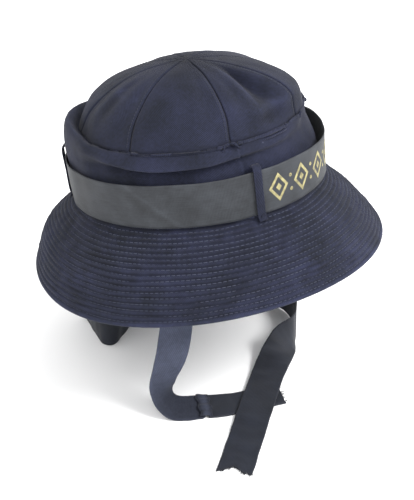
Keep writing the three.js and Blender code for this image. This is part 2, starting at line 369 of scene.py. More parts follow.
def woven_cotton(name, colour, faded, lint, twill_spacing, bump):
    """Dyed cotton twill: a matt diagonal weave with faded patches, and a little lint on it."""
    material, shader = new_material(name)
    spot = add_node(material, "ShaderNodeTexCoord")
    cloth = spot.outputs["UV"]
    body = spot.outputs["Object"]
    patches = add_node(material, "ShaderNodeTexNoise",
                       {"Vector": body, "Scale": 1 / (38 * MM), "Detail": 4, "Roughness": 0.6})
    streaks = add_node(material, "ShaderNodeTexNoise",
                       {"Vector": cloth, "Scale": 1 / 2.6, "Detail": 3, "Roughness": 0.65})
    twill = add_node(material, "ShaderNodeTexWave",
                     {"Vector": cloth, "Scale": 2 / (twill_spacing * 2 * math.pi) * 1.41,
                      "Distortion": 0.6, "Detail": 1, "Detail Scale": 0.4},
                     wave_type="BANDS", bands_direction="DIAGONAL")
    fade = add_node(material, "ShaderNodeMath",
                    {0: patches.outputs["Fac"], 1: 0.62}, operation="MULTIPLY")
    fade = add_node(material, "ShaderNodeMath",
                    {0: streaks.outputs["Fac"], 1: 0.38, 2: fade.outputs[0]}, operation="MULTIPLY_ADD")
    lines = add_node(material, "ShaderNodeMapRange",
                     {"Value": twill.outputs["Fac"], "To Min": 0.74, "To Max": 1.12})
    shaded = faded_dye(material, fade.outputs[0], (0.38, 0.64), (colour, faded), lines.outputs[0],
                       (0.45, 1.75))
    specks = add_node(material, "ShaderNodeTexVoronoi", {"Vector": body, "Scale": 1 / (7 * MM)})
    speck_share = add_node(material, "ShaderNodeMapRange",
                           {"Value": specks.outputs["Distance"], "From Min": 0.075, "From Max": 0.02,
                            "To Max": 0.55})
    picked = add_node(material, "ShaderNodeTexNoise", {"Vector": body, "Scale": 1 / (16 * MM)})
    picked_share = add_node(material, "ShaderNodeMapRange",
                            {"Value": picked.outputs["Fac"], "From Min": 0.56, "From Max": 0.66})
    lint_share = add_node(material, "ShaderNodeMath",
                          {0: speck_share.outputs[0], 1: picked_share.outputs[0]}, operation="MULTIPLY")
    finished = add_node(material, "ShaderNodeMix",
                        {"Factor": lint_share.outputs[0], "A": shaded, "B": linear(lint)},
                        data_type="RGBA")
    height = add_node(material, "ShaderNodeMath",
                      {0: streaks.outputs["Fac"], 1: 0.8, 2: twill.outputs["Fac"]},
                      operation="MULTIPLY_ADD")
    return finish_cloth(material, shader, finished.outputs["Result"], height.outputs[0], bump, 0.25, {
        "Roughness": 0.88, "Specular IOR Level": 0.2, "Sheen Weight": 0.05, "Sheen Roughness": 0.45,
    })


# Gabardine has about 20 twill lines to the centimetre. They are drawn 1.1 mm apart, so that they show.
navy_gabardine = woven_cotton("navy_cotton_gabardine", "#131621", "#212437", "#747B8E", 1.1, 0.9)


def sewing_cotton(name, colour):
    """Plain matt thread."""
    material, shader = new_material(name)
    shader.inputs["Base Color"].default_value = linear(colour)
    shader.inputs["Roughness"].default_value = 0.7
    return material


navy_thread = sewing_cotton("navy_sewing_cotton", "#1F2330")

STITCH_WIDTH = 0.5  # real thread is about 0.3 mm, and this much shows
STITCH_HEIGHT = 0.28
STITCH_SUNK = 0.12  # how far its foot is drawn into the cloth
STITCH_FILL = 0.72  # share of the stitch length that lies on top of the cloth
STITCH_TAPER = 0.22  # share of that run over which each end rises


def stitch_row(path, length, stitch, mesh_points, mesh_faces, closed=False):
    """Lay stitches along path(t), which gives a point and the direction out of the cloth, in mm.
    Each stitch is a low ridge with tapered ends."""
    count = max(1, round(length / stitch))
    for number in range(count):
        start, way_out = path(number / count)
        end, _ = path((number + STITCH_FILL) / count)
        run = end - start
        side = run.cross(way_out).normalized() * (STITCH_WIDTH / 2)
        lift = way_out * STITCH_HEIGHT
        sunk = way_out * -STITCH_SUNK
        first = len(mesh_points)
        mesh_points += [
            start + side + sunk, start - side + sunk, end - side + sunk, end + side + sunk,
            start + run * STITCH_TAPER + lift, end - run * STITCH_TAPER + lift,
        ]
        mesh_faces += [
            tuple(first + i for i in face)
            for face in ((0, 3, 2, 1), (0, 1, 4), (2, 3, 5), (1, 2, 5, 4), (3, 0, 4, 5))
        ]


def face_outward():
    """Turn all the faces of the active mesh to its outside."""
    bpy.ops.object.mode_set(mode="EDIT")
    bpy.ops.mesh.select_all(action="SELECT")
    bpy.ops.mesh.normals_make_consistent(inside=False)
    bpy.ops.object.mode_set(mode="OBJECT")


def stitch_piece(name, points, faces, place=tilted):
    """One mesh of all the stitches of a piece."""
    mesh = bpy.data.meshes.new(name)
    mesh.from_pydata([place(point) for point in points], [], faces)
    piece = bpy.data.objects.new(name, mesh)
    bpy.context.scene.collection.objects.link(piece)
    bpy.ops.object.select_all(action="DESELECT")
    bpy.context.view_layer.objects.active = piece
    piece.select_set(True)
    face_outward()
    bpy.ops.object.shade_smooth()
    return piece


GORE_SCUFFS_AND_PAINTED_LIGHT = [
    # angle, row, spread in degrees, reach in rows, how much paler (darker below 0): pale scuffs, painted
    # highlights on ridges and puffs, and painted shade in hollows
    # pale scuffs at the back right of the dome
    (146, 8.02, 6, 0.11, 0.9),
    (139, 7.8, 5, 0.09, 0.8),
    (126, 7.76, 4, 0.09, 0.6),
    (151, 7.3, 2.5, 0.4, 0.6),
    # painted shade in the hollow at the back right
    (143, 7.6, 3, 0.6, -0.5),
    # painted highlight on the ridge before the front dent, and painted shade in its valley
    (47, 8.1, 1.8, 1.0, 0.8),
    (40, 8.0, 4, 0.9, -1),
    # painted highlight on the ridge above the welt, and painted shade in the hollow above the welt
    (37, 6.94, 12, 0.09, 0.8),
    (40, 6.5, 14, 0.2, -0.5),
    # painted highlight on the puff at the right front of the dome
    (20, 7.7, 5, 0.5, 0.4),
    # painted shade in the hollow by the roll at the back
    (168, 6.2, 15, 0.35, -0.9),
]
SEAM_LAP = 0.15  # how far each gore runs past its seam, so that no daylight shows
SEAM_ROLL = 1.2  # how much cloth rolls in at a seam
SEAM_SHALLOW = 0.4  # the share of that roll which even the slackest seam has
GORE_COLUMNS = 44
GORE_ROWS = 80
GORE_LENGTH = 98
GORE_FULLNESS = 1.05  # a gore's cut width over its chord at the foot
GORE_SWELL = 0.5
GORE_TUCK = 2.4  # how far the feet step in, behind the side band
GORE_TIP_ROW = LAST_ROW - 0.02
TOPSTITCH_FOOT_ROW = 6.15
TOPSTITCH_ROWS = 3.5
TOPSTITCH_LENGTH = 92
TOPSTITCH_STITCH = 2.6
TOPSTITCH_MARGIN = 2.4  # from the seam

seam_points, seam_faces = [], []
for gore, seam in enumerate(GORE_SEAMS):
    next_seam = GORE_SEAMS[gore + 1] if gore + 1 < len(GORE_SEAMS) else GORE_SEAMS[0] + 360
    foot_width = (crown_point(seam, GORE_FOOT_ROW) - crown_point(next_seam, GORE_FOOT_ROW)).length

    def nearer_depth(angle):
        nearer = gore if angle - seam < next_seam - angle else (gore + 1) % len(GORE_SEAMS)
        return SEAM_DEPTHS[nearer]

    def gore_point(s, t):
        # The feet run on inside the side band, and each edge rolls in to its seam.
        row = GORE_HEM_ROW + (GORE_TIP_ROW - GORE_HEM_ROW) * t
        angle = next_seam + (seam - next_seam) * s
        degree = degree_width(angle, row)
        angle += SEAM_LAP * (1 - 2 * s) / max(degree, 0.01)
        to_seam = max(0, min(angle - seam, next_seam - angle) * degree)
        roll = SEAM_ROLL * bell(to_seam, 0.6) * min(1, (LAST_ROW - row) * 2)
        roll *= SEAM_SHALLOW + (1 - SEAM_SHALLOW) * nearer_depth(angle)
        width = max(1e-6, (next_seam - seam) * degree)
        swell = GORE_SWELL * math.sin(math.pi * min(1, to_seam / width)) ** 0.7
        swell *= smooth_step(row, 6, 7) * min(1, (LAST_ROW - row) / 1.5)
        tuck = GORE_TUCK * (1 - smooth_step(row, GORE_HEM_ROW, GORE_FOOT_ROW + 0.06))
        point = crown_point(angle, row)
        return tilted(point + outward(crown_point, angle, min(row, 9.9)) * (swell - roll - tuck))

    def gore_wear_and_painted_light(s, t):
        row = GORE_HEM_ROW + (GORE_TIP_ROW - GORE_HEM_ROW) * t
        angle = next_seam + (seam - next_seam) * s
        to_seam = min(angle - seam, next_seam - angle) * degree_width(angle, row)
        scuffs_and_painted_light = sum(
            bell(angle_between(at_angle, angle), spread) * bell(row - at_row, reach) * paler
            for at_angle, at_row, spread, reach, paler in GORE_SCUFFS_AND_PAINTED_LIGHT
        )
        # painted shade along the gores' feet, where they go in under the welt
        foot = bell((row - GORE_FOOT_ROW) / 0.12, 1)
        # painted shade in each seam's groove, and a painted highlight on the cloth raised beside it
        beside = (0.35 * bell(to_seam - 1.8, 0.8) - 0.6 * bell(to_seam, 0.5)) * nearer_depth(angle)
        beside *= 1 - 0.6 * smooth_step(row, 8, 9.6)
        return min(1, max(-1, beside + scuffs_and_painted_light - 0.4 * foot))

    cut_width = foot_width * GORE_FULLNESS
    cloth = cloth_grid(f"gore_cloth_{gore + 1}", GORE_COLUMNS, GORE_ROWS, gore_point,
                       (cut_width, GORE_LENGTH), wear_and_painted_light=gore_wear_and_painted_light)
    thicken(cloth, CLOTH_THICKNESS)
    dress(cloth, navy_gabardine, "navy_cotton", f"crown_gore_{gore + 1}")

    def seam_path(t):
        row = TOPSTITCH_FOOT_ROW + TOPSTITCH_ROWS * t
        angle = seam + TOPSTITCH_MARGIN / degree_width(seam, row)
        out = outward(crown_point, angle, row)
        return crown_point(angle, row) + out * 0.25, out

    stitch_row(seam_path, TOPSTITCH_LENGTH, TOPSTITCH_STITCH, seam_points, seam_faces)

gore_stitches = stitch_piece("gore_topstitching", seam_points, seam_faces)
dress(gore_stitches, navy_thread, "navy_cotton")

# ---- Side band ---------------------------------------------------------------------------------
# The side of the crown is one deep band of the same gabardine, joined at its own upright seam. It has
# slumped, so that it bulges over a crease above the ribbon and rolls over at the back.
BAND_TOP_ROW = 5.86
BAND_FOOT_ROW = -0.03  # the foot reaches just below the brim's seam edge
BAND_LENGTH = 575
BAND_DEPTH = 86
BAND_SEAM = 62.5  # where its two ends are joined, in degrees
BAND_DEGREE = 1.45  # mm round the band to a degree at that seam
BAND_ROW = 7  # mm up the band to a row near its top
BAND_COLUMNS = 430
BAND_ROWS = 104
WELT_MARGIN = 0.42  # rows from the band's top to its stitching
WELT_STITCH = 2.8


def band_place(s, t):
    return -360 * s, BAND_FOOT_ROW + (BAND_TOP_ROW - BAND_FOOT_ROW) * t


def band_point(s, t):
    """The band's outer face, drawn in under its top edge, which is turned in, and at its seam."""
    angle, row = band_place(s, t)
    from_top = (BAND_TOP_ROW - row) * BAND_ROW
    welt = 0.2 * bell(from_top - 1.8, 1.6) - 1.1 * bell(from_top, 0.8)
    to_seam = angle_between(BAND_SEAM, angle) * BAND_DEGREE
    upright = 0.35 * bell(to_seam - 1.8, 1.6) - 1.1 * bell(to_seam, 0.7)
    return tilted(crown_point(angle, row) + outward(crown_point, angle, row) * (welt + upright))


def band_painted_light(s, t):
    """Painted highlights on the welt, beside the seam and on the lip, and painted shade in the crease
    below the lip.
    """
    angle, row = band_place(s, t)
    seam = bell(angle_between(BAND_SEAM, angle) * BAND_DEGREE - 1.6, 0.8)
    welt = 0.3 * bell((BAND_TOP_ROW - row) * BAND_ROW - 1.2, 0.8) + 0.35 * seam
    lip = 0.35 * bell(row - 3.9, 0.25) * bell(angle_between(104, angle), 30)
    crease = 0.75 * bell(row - 3.2, 0.3) * bell(angle_between(102, angle), 32)
    return max(-1, min(1, welt + lip - crease))


side_band = cloth_grid("side_band_cloth", BAND_COLUMNS, BAND_ROWS, band_point,
                       (BAND_LENGTH, BAND_DEPTH), closed=True, wear_and_painted_light=band_painted_light)
thicken(side_band, CLOTH_THICKNESS)
dress(side_band, navy_gabardine, "navy_cotton", "side_band")

band_points, band_faces = [], []


def welt_path(t):
    angle = -360 * t
    row = BAND_TOP_ROW - WELT_MARGIN
    out = outward(crown_point, angle, row)
    return crown_point(angle, row) + out * 0.42, out


stitch_row(welt_path, BAND_LENGTH, WELT_STITCH, band_points, band_faces)
band_stitches = stitch_piece("welt_topstitching", band_points, band_faces)
dress(band_stitches, navy_thread, "navy_cotton")

# ---- Brim --------------------------------------------------------------------------------------
# Two plies of gabardine, turned out through a seam at the edge, and quilted flat by rows of machine
# stitching that run round the brim from the head opening to the edge.
HEAD_HALF_LONG = 98
HEAD_HALF_WIDE = 81
BRIM_REACH_LONG = 43.4
BRIM_REACH_WIDE = 46.9
BRIM_DROP = 54
BRIM_BOW = 2.2
BRIM_TUCK = 0.8
BRIM_THICKNESS = 2.6
BRIM_SLOPE = 70
PIECE_GAP = 0.35
STITCH_ROWS = 17
EDGE_MARGIN = 2.6  # from the last row of stitching to the folded edge
BRIM_SEAM = 6  # where the two ends of the brim's cloth are joined, in degrees
BRIM_STITCH = 3.6
BRIM_DEGREE = 1.9  # mm round the brim to a degree, about its middle
BRIM_ROUND = 740  # mm round the brim, about its middle
BRIM_MEAN_REACH = 45
FIRST_ROW = 3.2  # from the brim seam to the first row of stitching
QUILT_WIDTH = 0.9
QUILT_DEPTH = 1.0
THREAD_DEPTH = 0.86  # how deep the stitches lie in the quilting

BRIM_WAVES = [
    # name, angle, spread in degrees, extra drop, extra reach, extra swell
    ("sag at the right back", 128, 26, 2.5, 1, 0),
    ("rise at the right front", 52, 34, -3.5, 0, 0),
    ("rise at the back", 178, 24, -4, -1, 4),
    ("sag at the left back", 228, 30, 2.5, 1, 0),
]


def brim_point(angle, rise):
    """A point on the top of the brim, where rise runs from 0 at its outer edge to 1 at the seam."""
    out = 1 - rise
    drop, extra, bow = BRIM_DROP, 0, BRIM_BOW
    for _, wave_angle, spread, wave_drop, wave_reach, wave_swell in BRIM_WAVES:
        share = bell(angle_between(wave_angle, angle), spread)
        drop += share * wave_drop
        extra += share * wave_reach
        bow += share * wave_swell
    swell = bow * math.sin(math.pi * out)
    long = HEAD_HALF_LONG - BRIM_TUCK + (BRIM_REACH_LONG + extra) * out + swell
    side = HEAD_HALF_WIDE - BRIM_TUCK + (BRIM_REACH_WIDE + extra) * out + swell
    return oval_point(angle, long, long, side, -PIECE_GAP - drop * out + swell)


def row_place(number):
    """How far out of the brim seam a row of stitching runs, from 0 to 1."""
    span = BRIM_SLOPE - EDGE_MARGIN - FIRST_ROW
    return (FIRST_ROW + span * number / (STITCH_ROWS - 1)) / BRIM_SLOPE


ROW_PLACES = [row_place(number) for number in range(STITCH_ROWS)]


def row_wander(angle, number):
    """How far a row of stitching strays from its even line, in mm."""
    return 0.9 * wrinkle(angle, number * 9, 24, 5)


def quilting(angle, out):
    """How far the nearest row of stitching pulls the cloth in, from 0 to 1."""
    slope = out * BRIM_SLOPE
    pitch = (ROW_PLACES[1] - ROW_PLACES[0]) * BRIM_SLOPE
    number = round((slope - ROW_PLACES[0] * BRIM_SLOPE) / pitch)
    number = min(max(number, 0), STITCH_ROWS - 1)
    distance = slope - ROW_PLACES[number] * BRIM_SLOPE - row_wander(angle, number)
    return bell(distance, QUILT_WIDTH)


BRIM_COLUMNS = 420
FACE_ROWS = 84
EDGE_ROWS = 6
SEAM_EDGE = -0.028  # the seam edge reaches up inside the side band, so that no light comes through


def brim_shell(s, t):
    """The brim's whole skin: down its top from the seam, round the folded edge and back up below."""
    angle = -360 * s
    steps = 2 * FACE_ROWS + EDGE_ROWS
    step = t * steps
    if step <= FACE_ROWS:
        out, side = SEAM_EDGE + (1 - SEAM_EDGE) * step / FACE_ROWS, 1
    elif step >= FACE_ROWS + EDGE_ROWS:
        out, side = SEAM_EDGE + (1 - SEAM_EDGE) * (steps - step) / FACE_ROWS, -1
    else:
        out, side = 1, math.cos(math.pi * (step - FACE_ROWS) / EDGE_ROWS)
    middle = brim_point(angle, 1 - out)
    way_out = outward(brim_point, angle, 1 - out)
    half = BRIM_THICKNESS / 2
    beyond = half * math.sqrt(max(0, 1 - side * side)) if out == 1 else 0
    away = (brim_point(angle, 0) - brim_point(angle, 0.04)).normalized()
    pulled = quilting(angle, out)
    edge_share = smooth_step(out, 0.9, 1)
    slope = out * BRIM_SLOPE
    puff = 0.5 * wrinkle(angle, slope + 7 * side, 5, 2) + 0.7 * wrinkle(angle, slope, 16, 6)
    depth = half * side - side * QUILT_DEPTH * pulled + puff * (1 - 0.6 * pulled) * (1 - edge_share)
    seam = angle_between(BRIM_SEAM, angle) * BRIM_DEGREE
    depth += side * (0.35 * bell(seam - 1.6, 1.2) - 0.5 * bell(seam, 0.6)) * smooth_step(out, 0.05, 0.2)
    middle = middle - way_out * half
    return tilted(middle + way_out * depth + away * beyond)


def brim_wear_and_painted_light(s, t):
    """Random paler and darker patches, painted shade along the grooves of the stitching, which leaves the
    puffs between the rows paler, and paler on the folded edge.
    """
    angle = -360 * s
    out = min(1, (1 - abs(2 * t - 1)) * (2 * FACE_ROWS + EDGE_ROWS) / 2 / FACE_ROWS)
    patch = wrinkle(angle, out * BRIM_SLOPE, 6, 17)
    return max(-1, min(1, 0.15 + 0.55 * patch - 0.85 * quilting(angle, out) + 0.7 * bell(out - 1, 0.02)))


brim = cloth_grid("brim_cloth", BRIM_COLUMNS, 2 * FACE_ROWS + EDGE_ROWS, brim_shell,
                  (BRIM_ROUND, 2 * BRIM_SLOPE + 4), closed=True, wear_and_painted_light=brim_wear_and_painted_light)
bpy.ops.object.mode_set(mode="EDIT")
bpy.ops.mesh.select_all(action="DESELECT")
bpy.ops.mesh.select_non_manifold()
bpy.ops.mesh.bridge_edge_loops()
bpy.ops.object.mode_set(mode="OBJECT")
face_outward()
dress(brim, navy_gabardine, "navy_cotton", "brim")

worn_thread = sewing_cotton("faded_sewing_cotton", "#3D4254")

for face_name, side in (("top", 1), ("under", -1)):
    points, faces = [], []
    for number, place in enumerate(ROW_PLACES):

        def row_path(t):
            angle = -360 * t + number * 0.4
            out = place + row_wander(angle, number) / BRIM_SLOPE
            way_out = outward(brim_point, angle, 1 - out)
            middle = brim_point(angle, 1 - out) - way_out * (BRIM_THICKNESS / 2)
            return middle + way_out * side * (BRIM_THICKNESS / 2 - THREAD_DEPTH), way_out * side

        around = math.pi * (HEAD_HALF_LONG + HEAD_HALF_WIDE + 2 * BRIM_MEAN_REACH * place)
        stitch_row(row_path, around, BRIM_STITCH, points, faces)
    quilting_stitches = stitch_piece(f"brim_quilting_{face_name}", points, faces)
    dress(quilting_stitches, worn_thread, "navy_cotton")

# ---- Cap ribbon --------------------------------------------------------------------------------
# A ribbed silk ribbon, faded from black to grey, goes round the side band and stands off it a little.
# A gold pattern of open diamonds and dots is woven into its front.
RIBBON_WIDTH = 35
RIBBON_LIFT = 1.2
RIBBON_STAND_OFF = 1.8
RIBBON_FLARE = 0.6
RIBBON_LENGTH = 580
RIBBON_THICKNESS = 0.7

RIBBON_WAVES = [
    # name, angle, spread in degrees, push at the top edge, push at the lower edge
    ("stands away behind the right", 128, 16, 1.6, 0),
    ("drawn in by the right loop", 61, 5, -0.5, -0.4),
    ("stands away at the front", 14, 18, 2.2, 0),
    ("drawn in at the front right", 40, 8, -0.5, 0),
    ("stands away at the front left", -30, 14, 1.8, 0),
    ("stands away at the back right", 158, 12, 1.2, 0.4),
    ("stands away at the left", 262, 20, 1.6, 0),
]


def ribbon_fold(rise):
    """Where the ribbon's diagonal fold crosses it, in degrees."""
    return 94 + 24 * rise


def ribbon_point(angle, rise):
    """A point on the outer face of the cap ribbon, where rise runs from 0 to 1 up its width."""
    flare = RIBBON_FLARE * rise
    for _, wave_angle, spread, top_push, low_push in RIBBON_WAVES:
        share = bell(angle_between(wave_angle, angle), spread)
        flare += share * (top_push * rise ** 1.5 + low_push * (1 - rise))
    crease = angle - ribbon_fold(rise)
    flare += 0.9 * bell(crease, 1.8) - 0.5 * bell(crease + 4.5, 2.6)
    flare += 0.6 * wrinkle(angle, rise * 20, 16, 11)
    long = HEAD_HALF_LONG + RIBBON_STAND_OFF + flare
    side = HEAD_HALF_WIDE + RIBBON_STAND_OFF + flare
    ripple = 0.5 * wrinkle(angle, 0, 30, 14) * rise
    return oval_point(angle, long, long, side, RIBBON_LIFT + RIBBON_WIDTH * rise + ripple)


def ribbed_silk(name, colour, faded, rib_spacing, bump, sheen):
    """Worn ribbed silk: fine ribs across its width, faded patches, and a soft low gloss."""
    material, shader = new_material(name)
    spot = add_node(material, "ShaderNodeTexCoord")
    cloth = spot.outputs["UV"]
    ribs = add_node(material, "ShaderNodeTexWave",
                    {"Vector": cloth, "Scale": 1 / rib_spacing / math.pi, "Distortion": 0.5,
                     "Detail": 1, "Detail Scale": 0.3},
                    wave_type="BANDS", bands_direction="X")
    patches = add_node(material, "ShaderNodeTexNoise",
                       {"Vector": cloth, "Scale": 1 / 22, "Detail": 5, "Roughness": 0.62})
    threads = add_node(material, "ShaderNodeMapping", {"Vector": cloth, "Scale": (0.08, 1.4, 1)})
    streaks = add_node(material, "ShaderNodeTexNoise",
                       {"Vector": threads.outputs[0], "Scale": 1, "Detail": 2})
    fade = add_node(material, "ShaderNodeMath",
                    {0: streaks.outputs["Fac"], 1: 0.4, 2: patches.outputs["Fac"]},
                    operation="MULTIPLY_ADD")
    lines = add_node(material, "ShaderNodeMapRange",
                     {"Value": ribs.outputs["Fac"], "To Min": 0.84, "To Max": 1.08})
    shaded = faded_dye(material, fade.outputs[0], (0.5, 0.9), (colour, faded), lines.outputs[0],
                       (0.55, 1.45))
    return finish_cloth(material, shader, shaded, ribs.outputs["Fac"], bump, 0.2, {
        "Roughness": 0.62, "Specular IOR Level": 0.3, "Sheen Weight": sheen, "Sheen Roughness": 0.4,
    })


# The ribs of such silk are about 0.5 mm apart. They are drawn 1 mm apart, so that they show.
faded_silk = ribbed_silk("faded_black_ribbed_silk", "#202226", "#34373C", 1.0, 0.5, 0.05)


def ribbon_wear_and_painted_light(s, t):
    """A painted highlight along the diagonal fold behind the right loop with painted shade just beside
    it, paler on both woven edges, and darker and paler patches near the top edge.
    """
    fold = angle_between(ribbon_fold(t), -360 * s)
    edge = bell(t, 0.03) + bell(1 - t, 0.03)
    # painted shade beside the fold, and random darker and paler patches near the top edge
    painted_shade_and_patches = bell(fold - 5, 3) + 0.8 * bell(t - 0.95, 0.12) * wrinkle(-360 * s, 0, 20, 4)
    return max(-1, min(1, 0.9 * bell(fold, 1.2) + 0.3 * edge - 0.5 * painted_shade_and_patches))


cap_ribbon = cloth_grid("cap_ribbon_cloth", 400, 22,
                        lambda s, t: tilted(ribbon_point(-360 * s, t)),
                        (RIBBON_LENGTH, RIBBON_WIDTH), closed=True, wear_and_painted_light=ribbon_wear_and_painted_light)
thicken(cap_ribbon, RIBBON_THICKNESS)
dress(cap_ribbon, faded_silk, "cap_ribbon_silk", "cap_ribbon")

GOLD_FROM = -57  # degrees, from just short of the left loop to just short of the right one
GOLD_TO = 57
GOLD_UNITS = 8
GOLD_TALL = 23
GOLD_STRIP = 3.2
GOLD_SQUEEZE = 0.78  # a diamond's width over its height
CORE_RADIUS = 3.2
CORE_STRIP = 2.2
CORE_SQUEEZE = 0.8
DOT_RADIUS = 1.5
DOT_STRIP = 1.0
DOT_HEIGHTS = (-5.5, 5.5)
GOLD_RAISE = 0.16
GOLD_THICKNESS = 0.3

gold_weave, gold_shader = new_material("woven_gold_thread")
gold_spot = add_node(gold_weave, "ShaderNodeTexCoord")
gold_wraps = add_node(gold_weave, "ShaderNodeTexWave",
                      {"Vector": gold_spot.outputs["Object"], "Scale": 1 / (0.9 * MM) / math.pi,
                       "Distortion": 1.5, "Detail": 2, "Detail Scale": 300},
                      wave_type="BANDS", bands_direction="Z")
gold_wear = add_node(gold_weave, "ShaderNodeTexNoise",
                     {"Vector": gold_spot.outputs["Object"], "Scale": 1 / (3.5 * MM), "Detail": 4})
gold_share = add_node(gold_weave, "ShaderNodeMapRange",
                      {"Value": gold_wear.outputs["Fac"], "From Min": 0.35, "From Max": 0.62})
gold_tone = add_node(gold_weave, "ShaderNodeMix",
                     {"Factor": gold_share.outputs[0], "A": linear("#6B6549"), "B": linear("#9E9669")},
                     data_type="RGBA")
finish_cloth(gold_weave, gold_shader, gold_tone.outputs["Result"], gold_wraps.outputs["Fac"], 0.5, 0.2,
             {"Roughness": 0.55, "Metallic": 0.15})

DEGREE = 1.72  # mm of ribbon to a degree at its front


def gold_shape(corners, radius, strip, x, stretch):
    """A flat many-sided frame round a hole, lying at x along the ribbon."""
    bpy.ops.object.select_all(action="DESELECT")
    bpy.ops.mesh.primitive_circle_add(vertices=corners, radius=radius, fill_type="NGON")
    shape = bpy.context.object
    bpy.ops.object.mode_set(mode="EDIT")
    bpy.ops.mesh.select_all(action="SELECT")
    bpy.ops.mesh.inset(thickness=strip)
    bpy.ops.mesh.delete(type="FACE")
    bpy.ops.mesh.select_all(action="SELECT")
    bpy.ops.mesh.subdivide(number_cuts=5)
    bpy.ops.object.mode_set(mode="OBJECT")
    for vertex in shape.data.vertices:
        vertex.co = Vector((x + vertex.co.x * stretch, vertex.co.y, 0))
    return shape


gold_shapes = []
unit = (GOLD_TO - GOLD_FROM) * DEGREE / GOLD_UNITS
for number in range(GOLD_UNITS):
    centre = GOLD_FROM * DEGREE + unit * (number + 0.5)
    gold_shapes.append(gold_shape(4, GOLD_TALL / 2, GOLD_STRIP * 0.75, centre, GOLD_SQUEEZE))
    gold_shapes.append(gold_shape(4, CORE_RADIUS, CORE_STRIP, centre, CORE_SQUEEZE))
    if number:
        for height in DOT_HEIGHTS:
            dot = gold_shape(8, DOT_RADIUS, DOT_STRIP, centre - unit / 2, 1)
            for vertex in dot.data.vertices:
                vertex.co.y += height
            gold_shapes.append(dot)
bpy.ops.object.select_all(action="DESELECT")
for shape in gold_shapes:
    shape.select_set(True)
bpy.context.view_layer.objects.active = gold_shapes[0]
bpy.ops.object.join()
gold_pattern = bpy.context.object
gold_pattern.name = "woven_gold_pattern"
for vertex in gold_pattern.data.vertices:
    angle = -vertex.co.x / DEGREE
    rise = 0.5 + vertex.co.y / RIBBON_WIDTH
    out = outward(ribbon_point, angle, rise)
    vertex.co = tilted(ribbon_point(angle, rise) + out * GOLD_RAISE)
face_outward()
first_face = gold_pattern.data.polygons[0]
if first_face.normal.y > 0:
    bpy.ops.object.mode_set(mode="EDIT")
    bpy.ops.mesh.flip_normals()
    bpy.ops.object.mode_set(mode="OBJECT")
thicken(gold_pattern, GOLD_THICKNESS)
dress(gold_pattern, gold_weave, "gold_thread")

# ---- Ribbon loops ------------------------------------------------------------------------------
# Three narrow strips of folded gabardine hold the ribbon. Each is sewn down to the side band above
# the ribbon, with its raw end showing, and is caught in the brim seam below.
LOOP_WIDTH = 6.5
LOOP_THICKNESS = 1.2
LOOPS = [
    # node, angle, further out over the side band's roll
    ("ribbon_loop_right", 60, 0),
    ("ribbon_loop_back", 181, 2.2),
    ("ribbon_loop_left", 300, 0),
]
LOOP_ROUTE = [
    # outward from the ribbon's face, height
    (-3, 40.6),
    (-0.2, 40.2),
    (1.6, 36),
    (1.3, 20),
    (1.2, 3),
    (1.8, 0),
    (3.6, -2.4),
]


def strap_frame(route, place):
    """The middle of a strap, the way across it and the way out of its face, at a place on its route.
    Each row of a route is a point on the strap's middle and the direction across it."""
    def at(spot, first):
        return Vector(between_rows(route, first + i, spot) for i in range(3))

    heading = at(place + 0.02, 0) - at(place - 0.02, 0)
    across = at(place, 3)
    face = across.cross(heading).normalized()
    across = heading.cross(face).normalized()
    return at(place, 0), across, face


def route_length(route):
    """How long a strap's middle is, in mm."""
    steps = 20 * (len(route) - 1)
    spots = [Vector(between_rows(route, i, step / 20) for i in range(3)) for step in range(steps + 1)]
    return sum((b - a).length for a, b in zip(spots, spots[1:]))


for loop_node, angle, over_roll in LOOPS:
    route = []
    for outward_reach, height in LOOP_ROUTE:
        reach = RIBBON_STAND_OFF + outward_reach + (over_roll if height > 0 else 0)
        ring = [
            oval_point(turn, HEAD_HALF_LONG + reach, HEAD_HALF_LONG + reach, HEAD_HALF_WIDE + reach,
                       height)
            for turn in (angle - 1, angle, angle + 1)
        ]
        route.append((*ring[1], *(ring[2] - ring[0]).normalized()))
    loop_length = route_length(route)

    def loop_point(s, t):
        middle, across, face = strap_frame(route, t * (len(route) - 1))
        side = 2 * s - 1
        half = LOOP_WIDTH / 2 + 0.15 * wrinkle(t * 40, 0, 6, 21)
        crown = 0.32 * (1 - side ** 4) - 0.22 * bell(abs(side) - 0.66, 0.1)
        ragged = 0.6 * wrinkle(side * 60, 0, 3, 9) if t == 0 else 0
        return tilted(middle + across * side * half + face * (0.3 + crown) + Vector((0, 0, ragged)))

    loop = cloth_grid(f"{loop_node}_cloth", 16, 60, loop_point, (LOOP_WIDTH, loop_length))
    thicken(loop, LOOP_THICKNESS)
    dress(loop, navy_gabardine, "navy_cotton", loop_node)

# ---- Ties --------------------------------------------------------------------------------------
# A navy cotton tape is sewn inside the headband at each side, and a black silk ribbon is sewn to the
# end of each tape. The near ribbon lies under the far one, whose end is cut to a ragged swallow-tail.
TAPE_WIDTH = 25
TIE_RIBBON_WIDTH = 27
TAPE_THICKNESS = 0.9
RIGHT_TAPE_ROUTE = [
    # x, y, z, across x, across y, across z
    (-75, 13, 8, 0.07, 1, 0),
    (-75.4, 13, -10, 0.07, 1, 0),
    (-81, 13.5, -45, 0, 1, 0),
    (-84, 13.5, -82, -0.08, 1, 0),
    (-85, 18, -112, -0.3, 0.95, 0),
    (-86, 24.5, -134, -0.62, 0.78, -0.05),
    (-87.5, 24, -147, -0.88, 0.45, -0.12),
    (-89, 17.5, -154.8, -0.96, 0.12, -0.26),
    (-88.5, 7, -156.6, -0.97, -0.05, -0.22),
    (-86, -2, -157, -0.97, -0.1, -0.18),
    (-84.8, -7, -157.4, -0.97, -0.2, -0.16),
]
